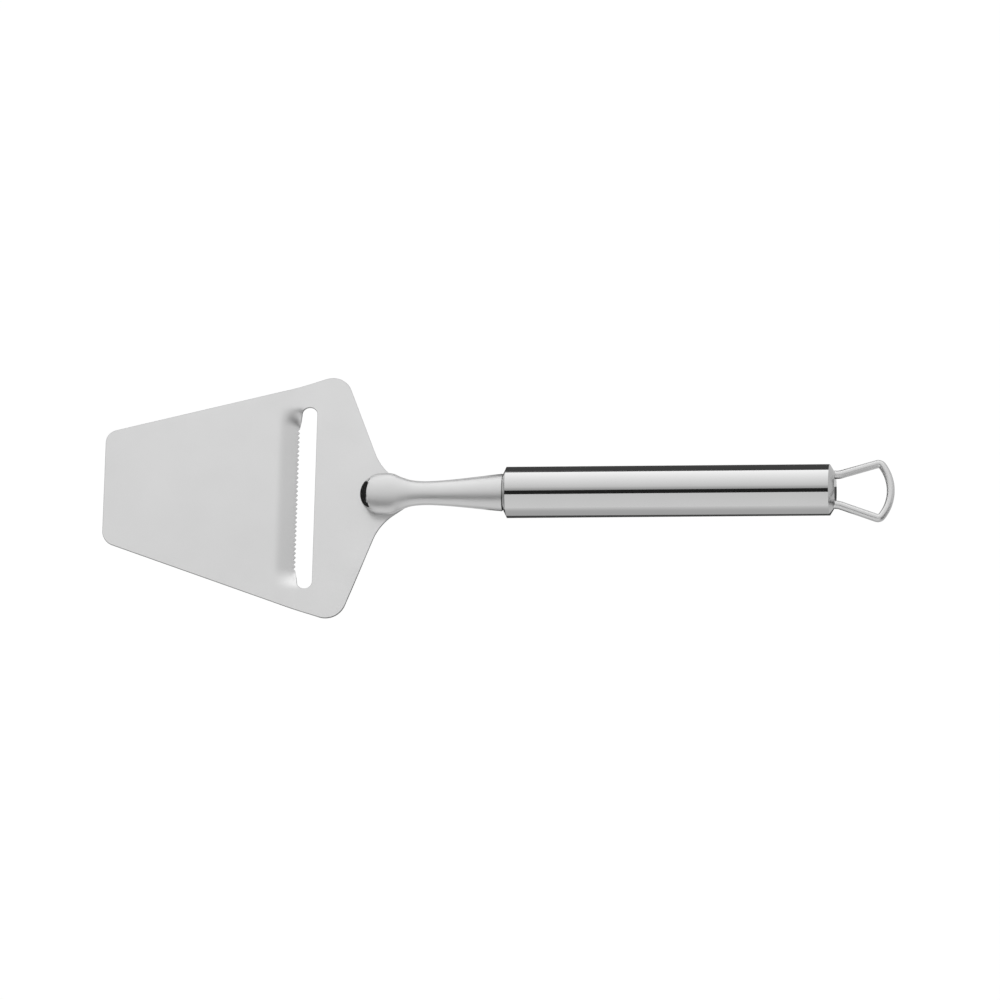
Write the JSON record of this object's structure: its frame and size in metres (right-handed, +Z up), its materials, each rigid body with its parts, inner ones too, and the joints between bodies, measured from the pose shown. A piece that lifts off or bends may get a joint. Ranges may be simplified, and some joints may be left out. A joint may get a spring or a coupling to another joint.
{
  "type": "cheese slicer",
  "caption": "All-metal hand slicer for cheese: a bent trapezoid blade with a serrated cross slot, a slim neck, a round hollow handle and a hanging loop.",
  "frame": {"origin": "middle of the slicer's outline as it lies on a table, on the table plane", "axes": "+X along the handle, from the blade's tip towards the hanging loop; +Y across the blade; +Z up, out of the blade's upper face"},
  "size_m": [0.2702, 0.0862, 0.0207],
  "materials": {
    "blade_steel": "fine satin",
    "neck_steel": "satin, brushed along the neck",
    "handle_steel": "mirror polished stainless steel",
    "loop_steel": "tumbled satin",
    "weld_steel": "as welded, brushed over",
    "seal": "matte black"
  },
  "bodies": {
    "root": {"blade": "blade_steel", "neck": "neck_steel", "neck_weld": "weld_steel", "front_seal": "seal", "front_cap": "handle_steel", "handle_tube": "handle_steel", "rear_cap": "handle_steel", "hanging_loop": "loop_steel", "loop_welds": "weld_steel"}
  },
  "joints": []
}
